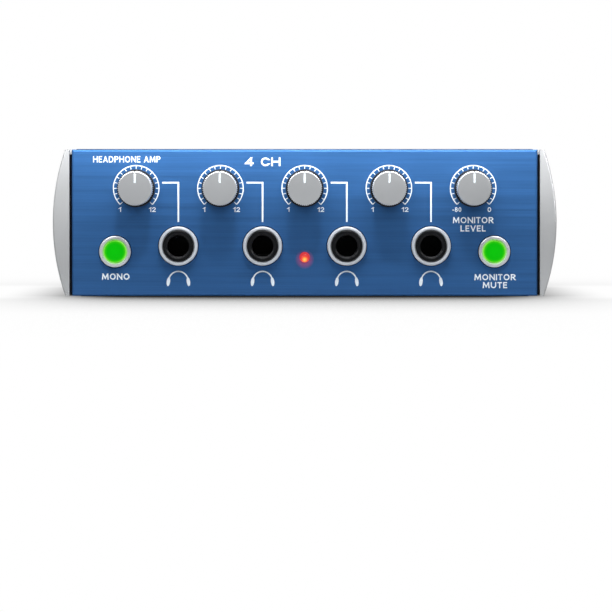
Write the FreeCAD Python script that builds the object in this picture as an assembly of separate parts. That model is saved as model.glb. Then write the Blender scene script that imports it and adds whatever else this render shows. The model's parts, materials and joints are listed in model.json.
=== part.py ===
"""Desktop headphone amplifier: a one-unit-high box with five level controls and four headphone sockets.

Row frame, in millimetres: +X is to the right seen from the front, the front panel faces -Y, +Z is up.
The origin is the centre of the chassis's footprint, on the plane that it stands on.
"""

import FreeCAD, Part
import math
import os
from FreeCAD import Vector

# ---------------------------------------------------------------- driving dimensions
UNIT_HEIGHT = 44.45         # one rack unit
DEPTH = 140.0               # front panel's face to the rear wall's face
CHASSIS_WIDTH = 140.0
PANEL_WIDTH = 140.4
PANEL_THICKNESS = 2.0
EDGE_LIFT = 0.15            # the panel and the cheeks stay this far off the table
SHEET = 1.2                 # steel sheet of the tray and the cover
BEND = 1.6                  # outer radius of a bend in that sheet
FRAME_SHEET = 1.5           # the front frame's sheet

CHEEK_MIDDLE = 76.0         # half width over the cheeks, at half height
CHEEK_END = 72.2            # the same at the cheeks' top and bottom edges
CHEEK_WALL = 2.8
CHEEK_INNER = 70.1          # the cheeks' flat inner side
CAP_EDGE = 71.0             # the straight inner edge of a cheek's front cap

PITCH = 25.4                # spacing of the controls, and of the sockets front and rear
KNOB_Z = 32.6
SOCKET_Z = 15.2
BUTTON_X = 57.2
BUTTON_Z = 13.5
LED_Z = 11.8
REAR_SOCKET_X = 22.2        # the first rear socket; the others follow at PITCH towards -X
REAR_SCREW_Z = 17.9
DC_X = 54.1

PLUG_BORE = 3.25            # radius, for a 6.35 mm plug
THREAD_R = 4.7              # threaded bushing of a headphone socket
LINE_BUSHING_R = 5.1        # plain bushing of a rear socket
BOARD_TOP = 8.6
BOARD = 1.6
BUTTON_TRAVEL = 2.5
SCREW_HOLE = 1.6            # radius of a clearance hole for an M3 screw
SCREW_THREAD = 1.45         # radius of a hole that an M3 screw is driven into
SHANK = 1.4                 # radius of an M3 screw's shank

# ---------------------------------------------------------------- places worked out from them
FRONT = -DEPTH / 2
REAR = DEPTH / 2
MIDDLE_Z = UNIT_HEIGHT / 2
PANEL_BACK = FRONT + PANEL_THICKNESS
FRAME_BACK = PANEL_BACK + FRAME_SHEET
REAR_INNER = REAR - SHEET
KNOB_XS = [PITCH * n for n in (-2, -1, 0, 1, 2)]
PHONES_XS = [PITCH * n for n in (-1.5, -0.5, 0.5, 1.5)]
LINE_XS = [REAR_SOCKET_X - PITCH * n for n in range(4)]
REAR_SCREW_XS = [x - PITCH / 2 for x in LINE_XS[:3]]
CHEEK_RISE = CHEEK_MIDDLE - CHEEK_END
CHEEK_R = (MIDDLE_Z ** 2 + CHEEK_RISE ** 2) / (2 * CHEEK_RISE)
CHEEK_CENTRE = CHEEK_MIDDLE - CHEEK_R
SIDES = (-1, 1)
ALONG_X, ALONG_Y, ALONG_Z = Vector(1, 0, 0), Vector(0, 1, 0), Vector(0, 0, 1)


# ---------------------------------------------------------------- small helpers
def block(x, y, z):
    """A box from three (low, high) pairs."""
    return Part.makeBox(x[1] - x[0], y[1] - y[0], z[1] - z[0], Vector(x[0], y[0], z[0]))


def rod(radius, start, end):
    """A cylinder between two points."""
    start, end = Vector(*start), Vector(*end)
    return Part.makeCylinder(radius, (end - start).Length, start, end - start)


def cone(r_start, r_end, start, end):
    start, end = Vector(*start), Vector(*end)
    return Part.makeCone(r_start, r_end, (end - start).Length, start, end - start)


def tube(outer, inner, start, end):
    return rod(outer, start, end).cut(rod(inner, start, end))


def fused(*shapes):
    """One solid out of several that touch or overlap."""
    first, rest = shapes[0], list(shapes[1:])
    return first.fuse(rest).removeSplitter() if rest else first


def group(shapes):
    return Part.makeCompound(list(shapes))


def prism(points, plane, low, high):
    """A closed outline swept along the axis that its plane leaves out. A point with a third value starts an
    arc: that value is the arc's sagitta towards the left of the way to the next point."""
    def place(u, v):
        return {"XZ": Vector(u, low, v), "YZ": Vector(low, u, v), "XY": Vector(u, v, low)}[plane]

    edges = []
    for a, b in zip(points, points[1:] + points[:1]):
        if len(a) == 3:
            run = math.hypot(b[0] - a[0], b[1] - a[1])
            left = (-(b[1] - a[1]) / run, (b[0] - a[0]) / run)
            via = ((a[0] + b[0]) / 2 + left[0] * a[2], (a[1] + b[1]) / 2 + left[1] * a[2])
            edges.append(Part.Arc(place(*a[:2]), place(*via), place(*b[:2])).toShape())
        else:
            edges.append(Part.LineSegment(place(*a[:2]), place(*b[:2])).toShape())
    sweep = {"XZ": ALONG_Y, "YZ": ALONG_X, "XY": ALONG_Z}[plane] * (high - low)
    return Part.Face(Part.Wire(edges)).extrude(sweep)


def quarter(radius):
    """The sagitta of a quarter circle."""
    return radius * (1 - math.sqrt(0.5))


def mirrored(shape, side):
    """The shape as made on the +X side, or its mirror image on the other side."""
    return shape if side > 0 else shape.mirror(Vector(0, 0, 0), ALONG_X)


def flipped(shape):
    """Turned half a turn about the vertical axis, so that what faced -Y faces +Y."""
    turned = shape.copy()
    turned.rotate(Vector(0, 0, 0), ALONG_Z, 180)
    return turned


def moved(shape, x=0.0, y=0.0, z=0.0):
    shape = shape.copy()
    shape.translate(Vector(x, y, z))
    return shape


def rounded(shape, radius, wanted):
    """Fillets the edges whose bounding box the test accepts."""
    edges = [e for e in shape.Edges if wanted(e.BoundBox)]
    return shape.makeFillet(radius, edges)


def near(a, b):
    return abs(a - b) < 0.01


def flat_at(box, axis, value):
    """Whether an edge's bounding box lies in the plane where that axis has that value."""
    low, high = getattr(box, axis + "Min"), getattr(box, axis + "Max")
    return near(low, value) and near(high, value)


# ---------------------------------------------------------------- fasteners, along +Z with the head on top
def cross_recess(size, depth):
    """A Phillips recess: two crossed tapering slots and a round core, from z = 0 down."""
    outline = [(-size / 2, 0.05), (size / 2, 0.05), (size / 5, -depth), (-size / 5, -depth)]
    slot = prism(outline, "XZ", -size / 8, size / 8)
    crossing = slot.copy()
    crossing.rotate(Vector(0, 0, 0), ALONG_Z, 90)
    core = cone(size / 7, size / 3.4, (0, 0, -depth), (0, 0, 0.05))
    return core.fuse([slot, crossing])


def pan_screw(head_r, head_h, shank_r, length):
    """A pan-head screw, the underside of its head at z = 0."""
    head = rod(head_r, (0, 0, 0), (0, 0, head_h))
    head = rounded(head, head_h * 0.45, lambda b: flat_at(b, "Z", head_h))
    screw = fused(head, rod(shank_r, (0, 0, -length), (0, 0, 0)))
    return screw.cut(moved(cross_recess(head_r * 1.25, head_h * 0.7), z=head_h))


def flat_screw(head_r, head_h, shank_r, length):
    """A countersunk screw, the top of its head at z = 0."""
    head = cone(shank_r, head_r, (0, 0, -head_h), (0, 0, 0))
    screw = fused(head, rod(shank_r, (0, 0, -length), (0, 0, -head_h)))
    return screw.cut(cross_recess(head_r * 1.1, head_h * 0.8))


def aimed(shape, axis, angle, at):
    """A fastener turned about an axis and set at a point."""
    shape = shape.copy()
    shape.rotate(Vector(0, 0, 0), axis, angle)
    shape.translate(Vector(*at))
    return shape


# ---------------------------------------------------------------- cheeks
def bow_x(z, inset=0.0):
    """Half width of the cheek's outer face at a height, or of a face that far inside it."""
    return CHEEK_CENTRE + math.sqrt((CHEEK_R - inset) ** 2 - (z - MIDDLE_Z) ** 2)


def bowed(inner_x, inset, low_z, high_z, low_y, high_y):
    """A prism between a flat side and a face of the bow."""
    sagitta = bow_x(MIDDLE_Z, inset) - bow_x(low_z, inset)
    outline = [
        (inner_x, low_z), (bow_x(low_z, inset), low_z, -sagitta),
        (bow_x(high_z, inset), high_z), (inner_x, high_z),
    ]
    return prism(outline, "XZ", low_y, high_y)


EAR_Z = (13.5, 31.0)        # a cheek's screwed ear: its height, how far in it reaches, and its screws
EAR_X = 62.5
EAR_THICKNESS = 4.9
EAR_SCREW_X = 65.2
EAR_SCREW_ZS = (17.7, 26.8)
EAR_THREAD = 1.3
HOOK_X = (67.75, 69.95)     # the hook that shows in the rear wall
HOOK_Z = (17.3, 27.1)
GAP_BACK = PANEL_BACK + 1.5 # how deep the dark gap beside the panel is, behind the cover's lip


def cheek():
    """The right cheek: a bowed casting, open behind, with a screwed ear in front and a hook at the rear."""
    low, high = EDGE_LIFT, UNIT_HEIGHT - EDGE_LIFT
    body = bowed(CHEEK_INNER, 0, low, high, FRONT, REAR)
    body = rounded(
        body, 0.5, lambda b: flat_at(b, "Y", FRONT) and b.XMin > CHEEK_INNER + 1 and b.ZMax - b.ZMin > 20
    )
    hollow_z = math.sqrt((CHEEK_R - CHEEK_WALL) ** 2 - (CHEEK_INNER - 0.2 - CHEEK_CENTRE) ** 2)
    hollow = bowed(
        CHEEK_INNER - 1, CHEEK_WALL, MIDDLE_Z - hollow_z, MIDDLE_Z + hollow_z, PANEL_BACK, REAR + 1
    )
    gap = block((CHEEK_INNER - 1, CAP_EDGE), (FRONT - 1, GAP_BACK), (-1, UNIT_HEIGHT + 1))
    shell = body.cut([hollow, gap])
    wall_x = bow_x(EAR_Z[0], CHEEK_WALL) + 0.5
    ear_front = FRAME_BACK + 0.1
    ear = block((EAR_X, wall_x), (ear_front, ear_front + EAR_THICKNESS), EAR_Z)
    holes = [
        rod(EAR_THREAD, (EAR_SCREW_X, ear_front - 1, z), (EAR_SCREW_X, ear_front + EAR_THICKNESS - 0.6, z))
        for z in EAR_SCREW_ZS
    ]
    web = block((HOOK_X[0], wall_x), (REAR - 12, REAR - 4), HOOK_Z)
    tab = block(HOOK_X, (REAR - 5, REAR), HOOK_Z)
    tab = rounded(tab, 0.5, lambda b: b.YMax - b.YMin > 4 and near(b.XMin, b.XMax) and near(b.ZMin, b.ZMax))
    return fused(shell, ear.cut(holes), web, tab)


# ---------------------------------------------------------------- sheet metal
FLANGE_OUT = CHASSIS_WIDTH / 2 - SHEET - 0.05   # outer face of the tray's side flanges
TRAY_FLANGE = 12.0
TRAY_STOP = REAR_INNER - 2.3                    # where the side flanges end, clear of the rear bend
RETURN = 8.0                                    # depth of the rear wall's top return
STANDOFFS = [(x, y) for x in (-60.0, 60.0) for y in (-36.0, 36.0)]
FRAME_SCREWS = [(-45.0, FRONT + 8), (45.0, FRONT + 8)]
COVER_SCREW_YS = (-30.0, 35.0)
COVER_SCREW_Z = 34.0
COVER_THREAD = 1.35
CONTROL_POSTS = [(-38.1, 36.0), (38.1, 36.0)]   # x and z of the control board's pillars
DC_FACE = (9.0, 10.9)                           # width and height of the inlet's face
CLIP_TOP, CLIP_ROOT = 39.0, 24.8                # the lanced cord clip's slot
CLIP_R, TONGUE_HALF = 4.25, 2.15
CLIP_STANDOFF = 4.4                             # from the rear wall's face to the tongue's inner face
CLIP_STEP = (29.2, 32.7)                        # heights between which the tongue steps out
TONGUE_TOP = 36.7


def u_channel(half, height, low_y, high_y):
    """The tray's floor with its two side flanges, bent up with round corners."""
    inner, inner_r = half - SHEET, BEND - SHEET
    outline = [
        (-half, height), (-half, BEND, -quarter(BEND)), (-half + BEND, 0), (half - BEND, 0, -quarter(BEND)),
        (half, BEND), (half, height), (inner, height), (inner, BEND, quarter(inner_r)),
        (inner - inner_r, SHEET), (inner_r - inner, SHEET, quarter(inner_r)),
        (-inner, BEND), (-inner, height),
    ]
    return prism(outline, "XZ", low_y, high_y)


def rear_profile(low_x, high_x):
    """The floor's end, the rear wall and its top return, with a round bend between them."""
    inner_r = BEND - SHEET
    top = UNIT_HEIGHT
    outline = [
        (TRAY_STOP, 0), (REAR - BEND, 0, -quarter(BEND)), (REAR, BEND), (REAR, top - BEND, -quarter(BEND)),
        (REAR - BEND, top), (REAR_INNER - RETURN, top), (REAR_INNER - RETURN, top - SHEET),
        (REAR - BEND, top - SHEET, quarter(inner_r)), (REAR_INNER, top - BEND),
        (REAR_INNER, BEND, quarter(inner_r)), (REAR - BEND, SHEET), (TRAY_STOP, SHEET),
    ]
    return prism(outline, "YZ", low_x, high_x)


def clip_slot():
    """What is cut away round the tongue of the cord clip."""
    low, high = REAR_INNER - 1, REAR + 1
    leg = (CLIP_R - TONGUE_HALF) / 2
    slot = fused(
        block((DC_X - CLIP_R, DC_X + CLIP_R), (low, high), (CLIP_ROOT + leg, CLIP_TOP - CLIP_R)),
        rod(CLIP_R, (DC_X, low, CLIP_TOP - CLIP_R), (DC_X, high, CLIP_TOP - CLIP_R)),
        *[rod(leg, (DC_X + s * (CLIP_R - leg), low, CLIP_ROOT + leg), (DC_X + s * (CLIP_R - leg), high,
              CLIP_ROOT + leg)) for s in SIDES],
    )
    root = block((DC_X - TONGUE_HALF, DC_X + TONGUE_HALF), (low - 1, high + 1), (0, CLIP_STEP[0]))
    return slot.cut(root)


def clip_tongue():
    """The tongue that steps out of the wall and holds the power lead behind it."""
    step = CLIP_STANDOFF + SHEET
    low, high = CLIP_STEP
    side = prism(
        [
            (REAR_INNER, low - 0.6), (REAR, low - 0.6), (REAR, low), (REAR + step, high),
            (REAR + step, TONGUE_TOP), (REAR_INNER + step, TONGUE_TOP), (REAR_INNER + step, high + 0.6),
            (REAR_INNER, low + 0.6),
        ],
        "YZ", DC_X - TONGUE_HALF, DC_X + TONGUE_HALF,
    )
    round_z = TONGUE_TOP - TONGUE_HALF
    front = fused(
        block((DC_X - TONGUE_HALF, DC_X + TONGUE_HALF), (REAR - 3, REAR + 9), (0, round_z)),
        rod(TONGUE_HALF, (DC_X, REAR - 3, round_z), (DC_X, REAR + 9, round_z)),
    )
    return side.common(front)


def rear_openings():
    """Cutters for the rear wall: sockets, their screws, the power inlet, the cheeks' hooks and the clip."""
    low, high = REAR_INNER - 1, REAR + 1
    cutters = [rod(LINE_BUSHING_R + 0.25, (x, low, SOCKET_Z), (x, high, SOCKET_Z)) for x in LINE_XS]
    cutters += [rod(SCREW_HOLE, (x, low, REAR_SCREW_Z), (x, high, REAR_SCREW_Z)) for x in REAR_SCREW_XS]
    wide, tall = DC_FACE
    half = wide / 2 + 0.3
    cutters.append(block((DC_X - half, DC_X + half), (low, high), (BOARD_TOP - 0.3, BOARD_TOP + tall + 0.3)))
    hook = block((HOOK_X[0] - 0.1, HOOK_X[1] + 0.1), (low, high), (HOOK_Z[0] - 0.1, HOOK_Z[1] + 0.1))
    cutters += [mirrored(hook, side) for side in SIDES]
    cutters.append(clip_slot())
    return cutters


def base_tray():
    """Floor, side flanges and the rear wall with its ears, folded from one sheet."""
    floor = u_channel(FLANGE_OUT, TRAY_FLANGE, PANEL_BACK + 0.1, TRAY_STOP)
    rear = rear_profile(-CHASSIS_WIDTH / 2, CHASSIS_WIDTH / 2)
    side_strip = block((FLANGE_OUT - BEND * 0.3, 80), (TRAY_STOP - 1, REAR_INNER - 0.6), (-1, BEND + 0.1))
    rear = rear.cut([mirrored(side_strip, side) for side in SIDES])
    ear = bowed(CHASSIS_WIDTH / 2 - 1, CHEEK_WALL + 0.2, 2.9, UNIT_HEIGHT - 2.9, REAR_INNER, REAR)
    tray = fused(floor, rear, *[mirrored(ear, side) for side in SIDES])
    holes = rear_openings()
    holes += [cone(2.85, 1.5, (x, y, 0), (x, y, SHEET)) for x, y in STANDOFFS + FRAME_SCREWS]
    return tray.cut(holes).fuse(clip_tongue()).removeSplitter()


def top_cover():
    """An inverted U over the tray. Its rear tongue slips under the rear wall's return, and a lip turned
    outwards at the front of each side backs the gap between the panel and the cheek."""
    half = CHASSIS_WIDTH / 2
    under = UNIT_HEIGHT - SHEET
    channel = u_channel(half, UNIT_HEIGHT - 0.4, PANEL_BACK + 0.1, REAR_INNER - 0.7)
    channel.rotate(Vector(0, 0, 0), ALONG_Y, 180)
    cover = moved(channel, z=UNIT_HEIGHT)
    seam = REAR_INNER - RETURN - 0.2
    notch = block((-80, 80), (seam, REAR), (UNIT_HEIGHT - BEND - 0.3, UNIT_HEIGHT + 1))
    tongue = block((-62, 62), (seam - 5, REAR_INNER - 2), (under - SHEET - 0.1, under - 0.1))
    lap = block((-62, 62), (seam - 5, seam), (under - 0.2, under + 0.2))
    ear_window = block((half - 2, half + 1), (FRONT, FRAME_BACK + 5.3), (EAR_Z[0] - 0.3, EAR_Z[1] + 0.3))
    hook_window = block((half - 2, half + 1), (REAR - 12.3, REAR), (HOOK_Z[0] - 0.3, HOOK_Z[1] + 0.3))
    openings = [ear_window, hook_window]
    openings += [
        rod(SCREW_HOLE, (half - 2, y, COVER_SCREW_Z), (half + 1, y, COVER_SCREW_Z)) for y in COVER_SCREW_YS
    ]
    cutters = [notch] + [mirrored(opening, side) for opening in openings for side in SIDES]
    lip_y = (PANEL_BACK + 0.1, GAP_BACK - 0.2)
    lip = block((half - 0.4, CAP_EDGE - 0.08), lip_y, (0.6, UNIT_HEIGHT - BEND))
    return fused(cover.cut(cutters), tongue, lap, *[mirrored(lip, side) for side in SIDES])


def post():
    """A tab that stands on the tray's right side flange and takes a cover screw."""
    y = COVER_SCREW_YS[0]
    x = (FLANGE_OUT - SHEET, FLANGE_OUT)
    return block(x, (y - 6, y + 6), (TRAY_FLANGE - 1, COVER_SCREW_Z + 5)).cut(
        rod(COVER_THREAD, (x[0] - 1, y, COVER_SCREW_Z), (x[1] + 1, y, COVER_SCREW_Z))
    )


def tray_with_posts():
    step = COVER_SCREW_YS[1] - COVER_SCREW_YS[0]
    posts = [mirrored(moved(post(), y=shift), side) for shift in (0, step) for side in SIDES]
    return fused(base_tray(), *posts)


BEZEL_SPIGOT = 4.25         # radius of the part of a button's bezel that goes through the panel
CONTROL_HOLE = 3.7
LED_R = 1.5


def front_frame():
    """The steel plate behind the front panel: flanges along its top and foot, and two clinched pillars."""
    low_z, high_z = SHEET, UNIT_HEIGHT - SHEET - 0.15
    half = FLANGE_OUT - SHEET - 0.6
    plate = block((-half, half), (PANEL_BACK, FRAME_BACK), (low_z, high_z))
    flange_y = (PANEL_BACK, FRONT + 13)
    foot = block((-60, 60), flange_y, (low_z, low_z + FRAME_SHEET))
    head = block((-60, 60), flange_y, (high_z - FRAME_SHEET, high_z))
    low, high = PANEL_BACK - 1, FRAME_BACK + 1
    holes = panel_holes(low, high)
    holes += [
        cone(1.5, 2.9, (s * EAR_SCREW_X, FRAME_BACK, z), (s * EAR_SCREW_X, PANEL_BACK, z))
        for s in SIDES for z in EAR_SCREW_ZS
    ]
    holes += [rod(SCREW_THREAD, (x, y, 0), (x, y, 6)) for x, y in FRAME_SCREWS]
    far_y = CONTROL_BOARD_Y
    holes += [rod(SCREW_THREAD, (x, PANEL_BACK + 1, z), (x, far_y + 1, z)) for x, z in CONTROL_POSTS]
    pillars = [rod(2.6, (x, PANEL_BACK + 0.5, z), (x, far_y, z)) for x, z in CONTROL_POSTS]
    return fused(plate, foot, head, *pillars).cut(holes)


def panel_holes(low_y, high_y):
    """Round holes for the controls, sockets, buttons and lamp, through both the frame and the panel."""
    spots = [(CONTROL_HOLE, x, KNOB_Z) for x in KNOB_XS]
    spots += [(THREAD_R + 0.15, x, SOCKET_Z) for x in PHONES_XS]
    spots += [(BEZEL_SPIGOT + 0.05, s * BUTTON_X, BUTTON_Z) for s in SIDES]
    spots.append((LED_R + 0.1, 0, LED_Z))
    return [rod(r, (x, low_y, z), (x, high_y, z)) for r, x, z in spots]


def front_panel():
    """The brushed aluminium face plate."""
    half, low, high = PANEL_WIDTH / 2, EDGE_LIFT, UNIT_HEIGHT - EDGE_LIFT
    plate = block((-half, half), (FRONT, PANEL_BACK), (low, high))
    plate = rounded(plate, 0.7, lambda b: flat_at(b, "Y", FRONT))
    return plate.cut(panel_holes(FRONT - 1, PANEL_BACK + 1))


# ---------------------------------------------------------------- sockets
HOUSING_HALF = 7.8
HOUSING_TOP = 22.8
HOUSING_DEPTH = 28.0
STRIP = 0.4                 # thickness of a contact spring


def socket(bushing_r, mouth_r, mouth_depth, groove_r, face_y, housing_y):
    """A board-mounted 6.35 mm socket on the plane x = 0, facing -Y: a bushing and an open-ended housing."""
    bushing = rod(bushing_r, (0, face_y, SOCKET_Z), (0, housing_y + 1, SOCKET_Z))
    bushing = rounded(bushing, 0.25, lambda b: flat_at(b, "Y", face_y))
    back_y = housing_y + HOUSING_DEPTH
    housing = block((-HOUSING_HALF, HOUSING_HALF), (housing_y, back_y), (BOARD_TOP, HOUSING_TOP))
    housing = rounded(housing, 0.6, lambda b: b.YMax - b.YMin > 20 and b.ZMin > BOARD_TOP + 1)
    bore = rod(PLUG_BORE, (0, face_y - 1, SOCKET_Z), (0, housing_y + 7, SOCKET_Z))
    funnel = cone(mouth_r, PLUG_BORE, (0, face_y, SOCKET_Z), (0, face_y + mouth_depth, SOCKET_Z))
    chamber = block((-5.6, 5.6), (housing_y + 6.5, back_y - 1.2), (BOARD_TOP - 1, HOUSING_TOP - 1.4))
    groove = tube(groove_r, groove_r - 0.2, (0, face_y - 1, SOCKET_Z), (0, face_y + 0.3, SOCKET_Z))
    return fused(bushing, housing).cut([bore, funnel, chamber, groove])


PHONES_FACE = FRONT - 2.2
PHONES_HOUSING = FRAME_BACK + 0.05
LINE_FACE = -(REAR + 2.0)            # a rear socket is made facing -Y, then turned round
BRACKET = 1.5
LINE_HOUSING = -(REAR_INNER - BRACKET - 0.05)


def phones_socket(x):
    return moved(socket(THREAD_R, 3.8, 0.5, 4.35, PHONES_FACE, PHONES_HOUSING), x=x)


def line_socket(x):
    return moved(flipped(socket(LINE_BUSHING_R, 4.45, 1.4, 4.75, LINE_FACE, LINE_HOUSING)), x=x)


def contact_springs(housing_y, tip_z):
    """The tip and ring springs of one socket on x = 0: strips along the chamber that bend in to the plug."""
    front, back = housing_y + 7, housing_y + HOUSING_DEPTH - 1.4

    def spring(wall_z, inward, bend_y, bend_z, half, leg_x):
        """A strip along a wall that bends in as far as bend_z, with a leg at its back end that goes down
        beside the plug's way to the board."""
        far_z = wall_z + inward * STRIP
        dip = abs(bend_z - far_z)
        run = 1.2 + dip * 0.75
        outline = [
            (front, wall_z), (bend_y - run, wall_z), (bend_y, wall_z + inward * dip), (bend_y + run, wall_z),
            (back, wall_z), (back, far_z), (bend_y + run + 0.2, far_z), (bend_y + 0.4, bend_z),
            (bend_y - 0.4, bend_z), (bend_y - run - 0.2, far_z), (front, far_z),
        ]
        strip = prism(outline, "YZ", -half, half)
        tail = block((0, leg_x), (back - 2.2, back), (min(wall_z, far_z), max(wall_z, far_z)))
        leg = block((leg_x - 0.8, leg_x), (back - STRIP, back), (BOARD_TOP, max(wall_z, far_z)))
        return fused(strip, tail, leg)

    tip = spring(HOUSING_TOP - 1.6, -1, housing_y + 20.5, tip_z, 1.3, 5.2)
    ring = spring(SOCKET_Z - 5.4, 1, housing_y + 13, SOCKET_Z - 2.7, 3.5, 3.5)
    return [tip, ring]


def ring_nut():
    """A smooth round nut on a headphone socket's bushing, on x = 0."""
    face = FRONT - 2.0
    ring = rod(5.9, (0, face, SOCKET_Z), (0, FRONT, SOCKET_Z))
    ring = rounded(ring, 0.5, lambda b: flat_at(b, "Y", face))
    ring = ring.cut(rod(THREAD_R + 0.04, (0, face - 1, SOCKET_Z), (0, FRONT + 1, SOCKET_Z)))
    return ring.cut(cone(5.05, THREAD_R, (0, face - 0.01, SOCKET_Z), (0, face + 0.35, SOCKET_Z)))


def rear_jack_bracket():
    """The plate that the rear screws pull against the wall, round all four line sockets."""
    across = (LINE_XS[3] - 9, LINE_XS[0] + 9)
    plate = block(across, (REAR_INNER - BRACKET, REAR_INNER), (BOARD_TOP + 0.4, 24.0))
    plate = rounded(plate, 1.5, lambda b: near(b.XMin, b.XMax) and near(b.ZMin, b.ZMax))
    low, high = REAR_INNER - BRACKET - 1, REAR_INNER + 1
    holes = [rod(LINE_BUSHING_R + 0.15, (x, low, SOCKET_Z), (x, high, SOCKET_Z)) for x in LINE_XS]
    holes += [rod(SCREW_THREAD, (x, low, REAR_SCREW_Z), (x, high, REAR_SCREW_Z)) for x in REAR_SCREW_XS]
    return plate.cut(holes)


DC_PIN_R, DC_ROOT_R = 1.05, 0.8         # the centre pin, and its thinner root in the moulding
DC_DEPTH, DC_WELL = 14.4, 10.0
DC_FACE_Y = REAR + 0.4


def dc_inlet():
    """The barrel inlet's moulded housing."""
    wide, tall = DC_FACE
    across = (DC_X - wide / 2, DC_X + wide / 2)
    body = block(across, (DC_FACE_Y - DC_DEPTH, DC_FACE_Y), (BOARD_TOP, BOARD_TOP + tall))
    body = rounded(body, 0.35, lambda b: flat_at(b, "Y", DC_FACE_Y))
    well = rod(3.2, (DC_X, DC_FACE_Y - DC_WELL, SOCKET_Z), (DC_X, DC_FACE_Y + 1, SOCKET_Z))
    pin_seat = rod(DC_ROOT_R, (DC_X, DC_FACE_Y - DC_DEPTH - 1, SOCKET_Z), (DC_X, DC_FACE_Y, SOCKET_Z))
    spring_y = (DC_FACE_Y - 9.5, DC_FACE_Y - 1.5)
    spring_well = block((DC_X - 1.2, DC_X + 1.2), spring_y, (SOCKET_Z - 5.0, SOCKET_Z))
    return body.cut([well, pin_seat, spring_well])


def dc_contacts():
    """The inlet's centre pin and the side spring that touches the plug's barrel."""
    pin = rod(DC_PIN_R, (DC_X, DC_FACE_Y - DC_WELL, SOCKET_Z), (DC_X, DC_FACE_Y - 1.2, SOCKET_Z))
    pin = rounded(pin, 0.6, lambda b: flat_at(b, "Y", DC_FACE_Y - 1.2))
    root = rod(DC_ROOT_R, (DC_X, DC_FACE_Y - DC_DEPTH, SOCKET_Z), (DC_X, DC_FACE_Y - DC_WELL, SOCKET_Z))
    low = SOCKET_Z - 4.7
    spring = prism(
        [
            (DC_FACE_Y - 9.4, low), (DC_FACE_Y - 2, low), (DC_FACE_Y - 2, low + 0.3),
            (DC_FACE_Y - 5, low + 1.9), (DC_FACE_Y - 5.4, low + 1.9), (DC_FACE_Y - 8.6, low + 0.3),
            (DC_FACE_Y - 9.4, low + 0.3),
        ],
        "YZ", DC_X - 1.0, DC_X + 1.0,
    )
    return group([fused(pin, root), spring])


# ---------------------------------------------------------------- level controls
CONTROL_BOARD_Y = FRAME_BACK + 7.6      # its front face
SHAFT_R = 2.98
SKIRT_R, CAP_R, CAP_ROOT_R = 5.7, 5.17, 4.97
SKIRT = (FRONT - 2.0, FRONT - 0.6)
CAP_TOP = FRONT - 12.4
KNURLS = 52
POINTER = (1.6, 4.45)                   # inner and outer end of the pointer groove on a cap's face
POINTER_WIDTH, POINTER_DEPTH = 0.65, 0.15
NOTCH = 0.55                            # depth of the notch that runs up the cap's side above the pointer


def potentiometer(x):
    """A board-mounted control: a square can and a plain bushing, bored for its shaft."""
    front = FRAME_BACK + 0.1
    can = block((x - 4.9, x + 4.9), (front, CONTROL_BOARD_Y), (KNOB_Z - 6.0, KNOB_Z + 5.4))
    can = rounded(can, 0.5, lambda b: flat_at(b, "Y", front))
    bushing = rod(3.5, (x, FRONT + 0.6, KNOB_Z), (x, front + 0.5, KNOB_Z))
    return fused(can, bushing).cut(rod(SHAFT_R + 0.05, (x, FRONT - 1, KNOB_Z), (x, front + 3.0, KNOB_Z)))


def shaft_outline(x, radius, start, end, flat_from):
    """A round shaft along Y with a flat on its upper side, from its front end to flat_from."""
    shaft = rod(radius, (x, start, KNOB_Z), (x, end, KNOB_Z))
    flat = block((x - 4, x + 4), (start - 1, flat_from), (KNOB_Z + radius - 1.4, KNOB_Z + 4))
    return shaft.cut(flat)


def pot_shaft(x):
    return shaft_outline(x, SHAFT_R, FRONT - 9.6, FRAME_BACK + 2.9, FRONT - 3.2)


def knob_body(x):
    """The black moulding: a skirt by the panel and a hub inside the cap, with a D-shaped bore."""
    skirt = rod(SKIRT_R, (x, SKIRT[0], KNOB_Z), (x, SKIRT[1], KNOB_Z))
    skirt = rounded(skirt, 0.4, lambda b: flat_at(b, "Y", SKIRT[0]))
    hub = rod(4.55, (x, FRONT - 10.6, KNOB_Z), (x, SKIRT[1], KNOB_Z))
    return fused(skirt, hub).cut(shaft_outline(x, SHAFT_R + 0.03, FRONT - 9.7, FRONT + 1, FRONT - 3.25))


def knurled(x):
    """The cap's fluted outline, as a prism: ribs round the edge, joined by straight flanks."""
    step = 2 * math.pi / KNURLS
    points = []
    for n in range(KNURLS):
        for share, radius in ((-0.22, CAP_R), (0.22, CAP_R), (0.36, CAP_ROOT_R), (0.64, CAP_ROOT_R)):
            angle = (n + share) * step
            points.append((x + radius * math.sin(angle), KNOB_Z + radius * math.cos(angle)))
    return prism(points, "XZ", CAP_TOP, SKIRT[0])


def knob_cap(x):
    """The silver cap: fluted side, rounded edge, a groove for the pointer and a notch above it."""
    blank = rod(CAP_R + 0.02, (x, CAP_TOP, KNOB_Z), (x, SKIRT[0], KNOB_Z))
    blank = rounded(blank, 0.45, lambda b: flat_at(b, "Y", CAP_TOP))
    across = (x - POINTER_WIDTH / 2, x + POINTER_WIDTH / 2)
    pointer_z = (KNOB_Z + POINTER[0], KNOB_Z + POINTER[1])
    groove = block(across, (CAP_TOP - 1, CAP_TOP + POINTER_DEPTH), pointer_z)
    notch = block(across, (CAP_TOP - 1, SKIRT[0] - 1), (KNOB_Z + CAP_R - NOTCH, KNOB_Z + 7))
    hollow = rod(4.6, (x, FRONT - 10.7, KNOB_Z), (x, SKIRT[0] + 1, KNOB_Z))
    return knurled(x).common(blank).cut([hollow, groove, notch])


# ---------------------------------------------------------------- buttons and lamp
BEZEL_R, LENS_R = 4.75, 3.35
BEZEL_MOUTH = 3.85          # radius of the bezel's inner bevel at its face
BEZEL_FACE = FRONT - 1.3
LENS_FACE = FRONT - 0.9
SWITCH_FRONT = FRONT + 11.5


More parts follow.
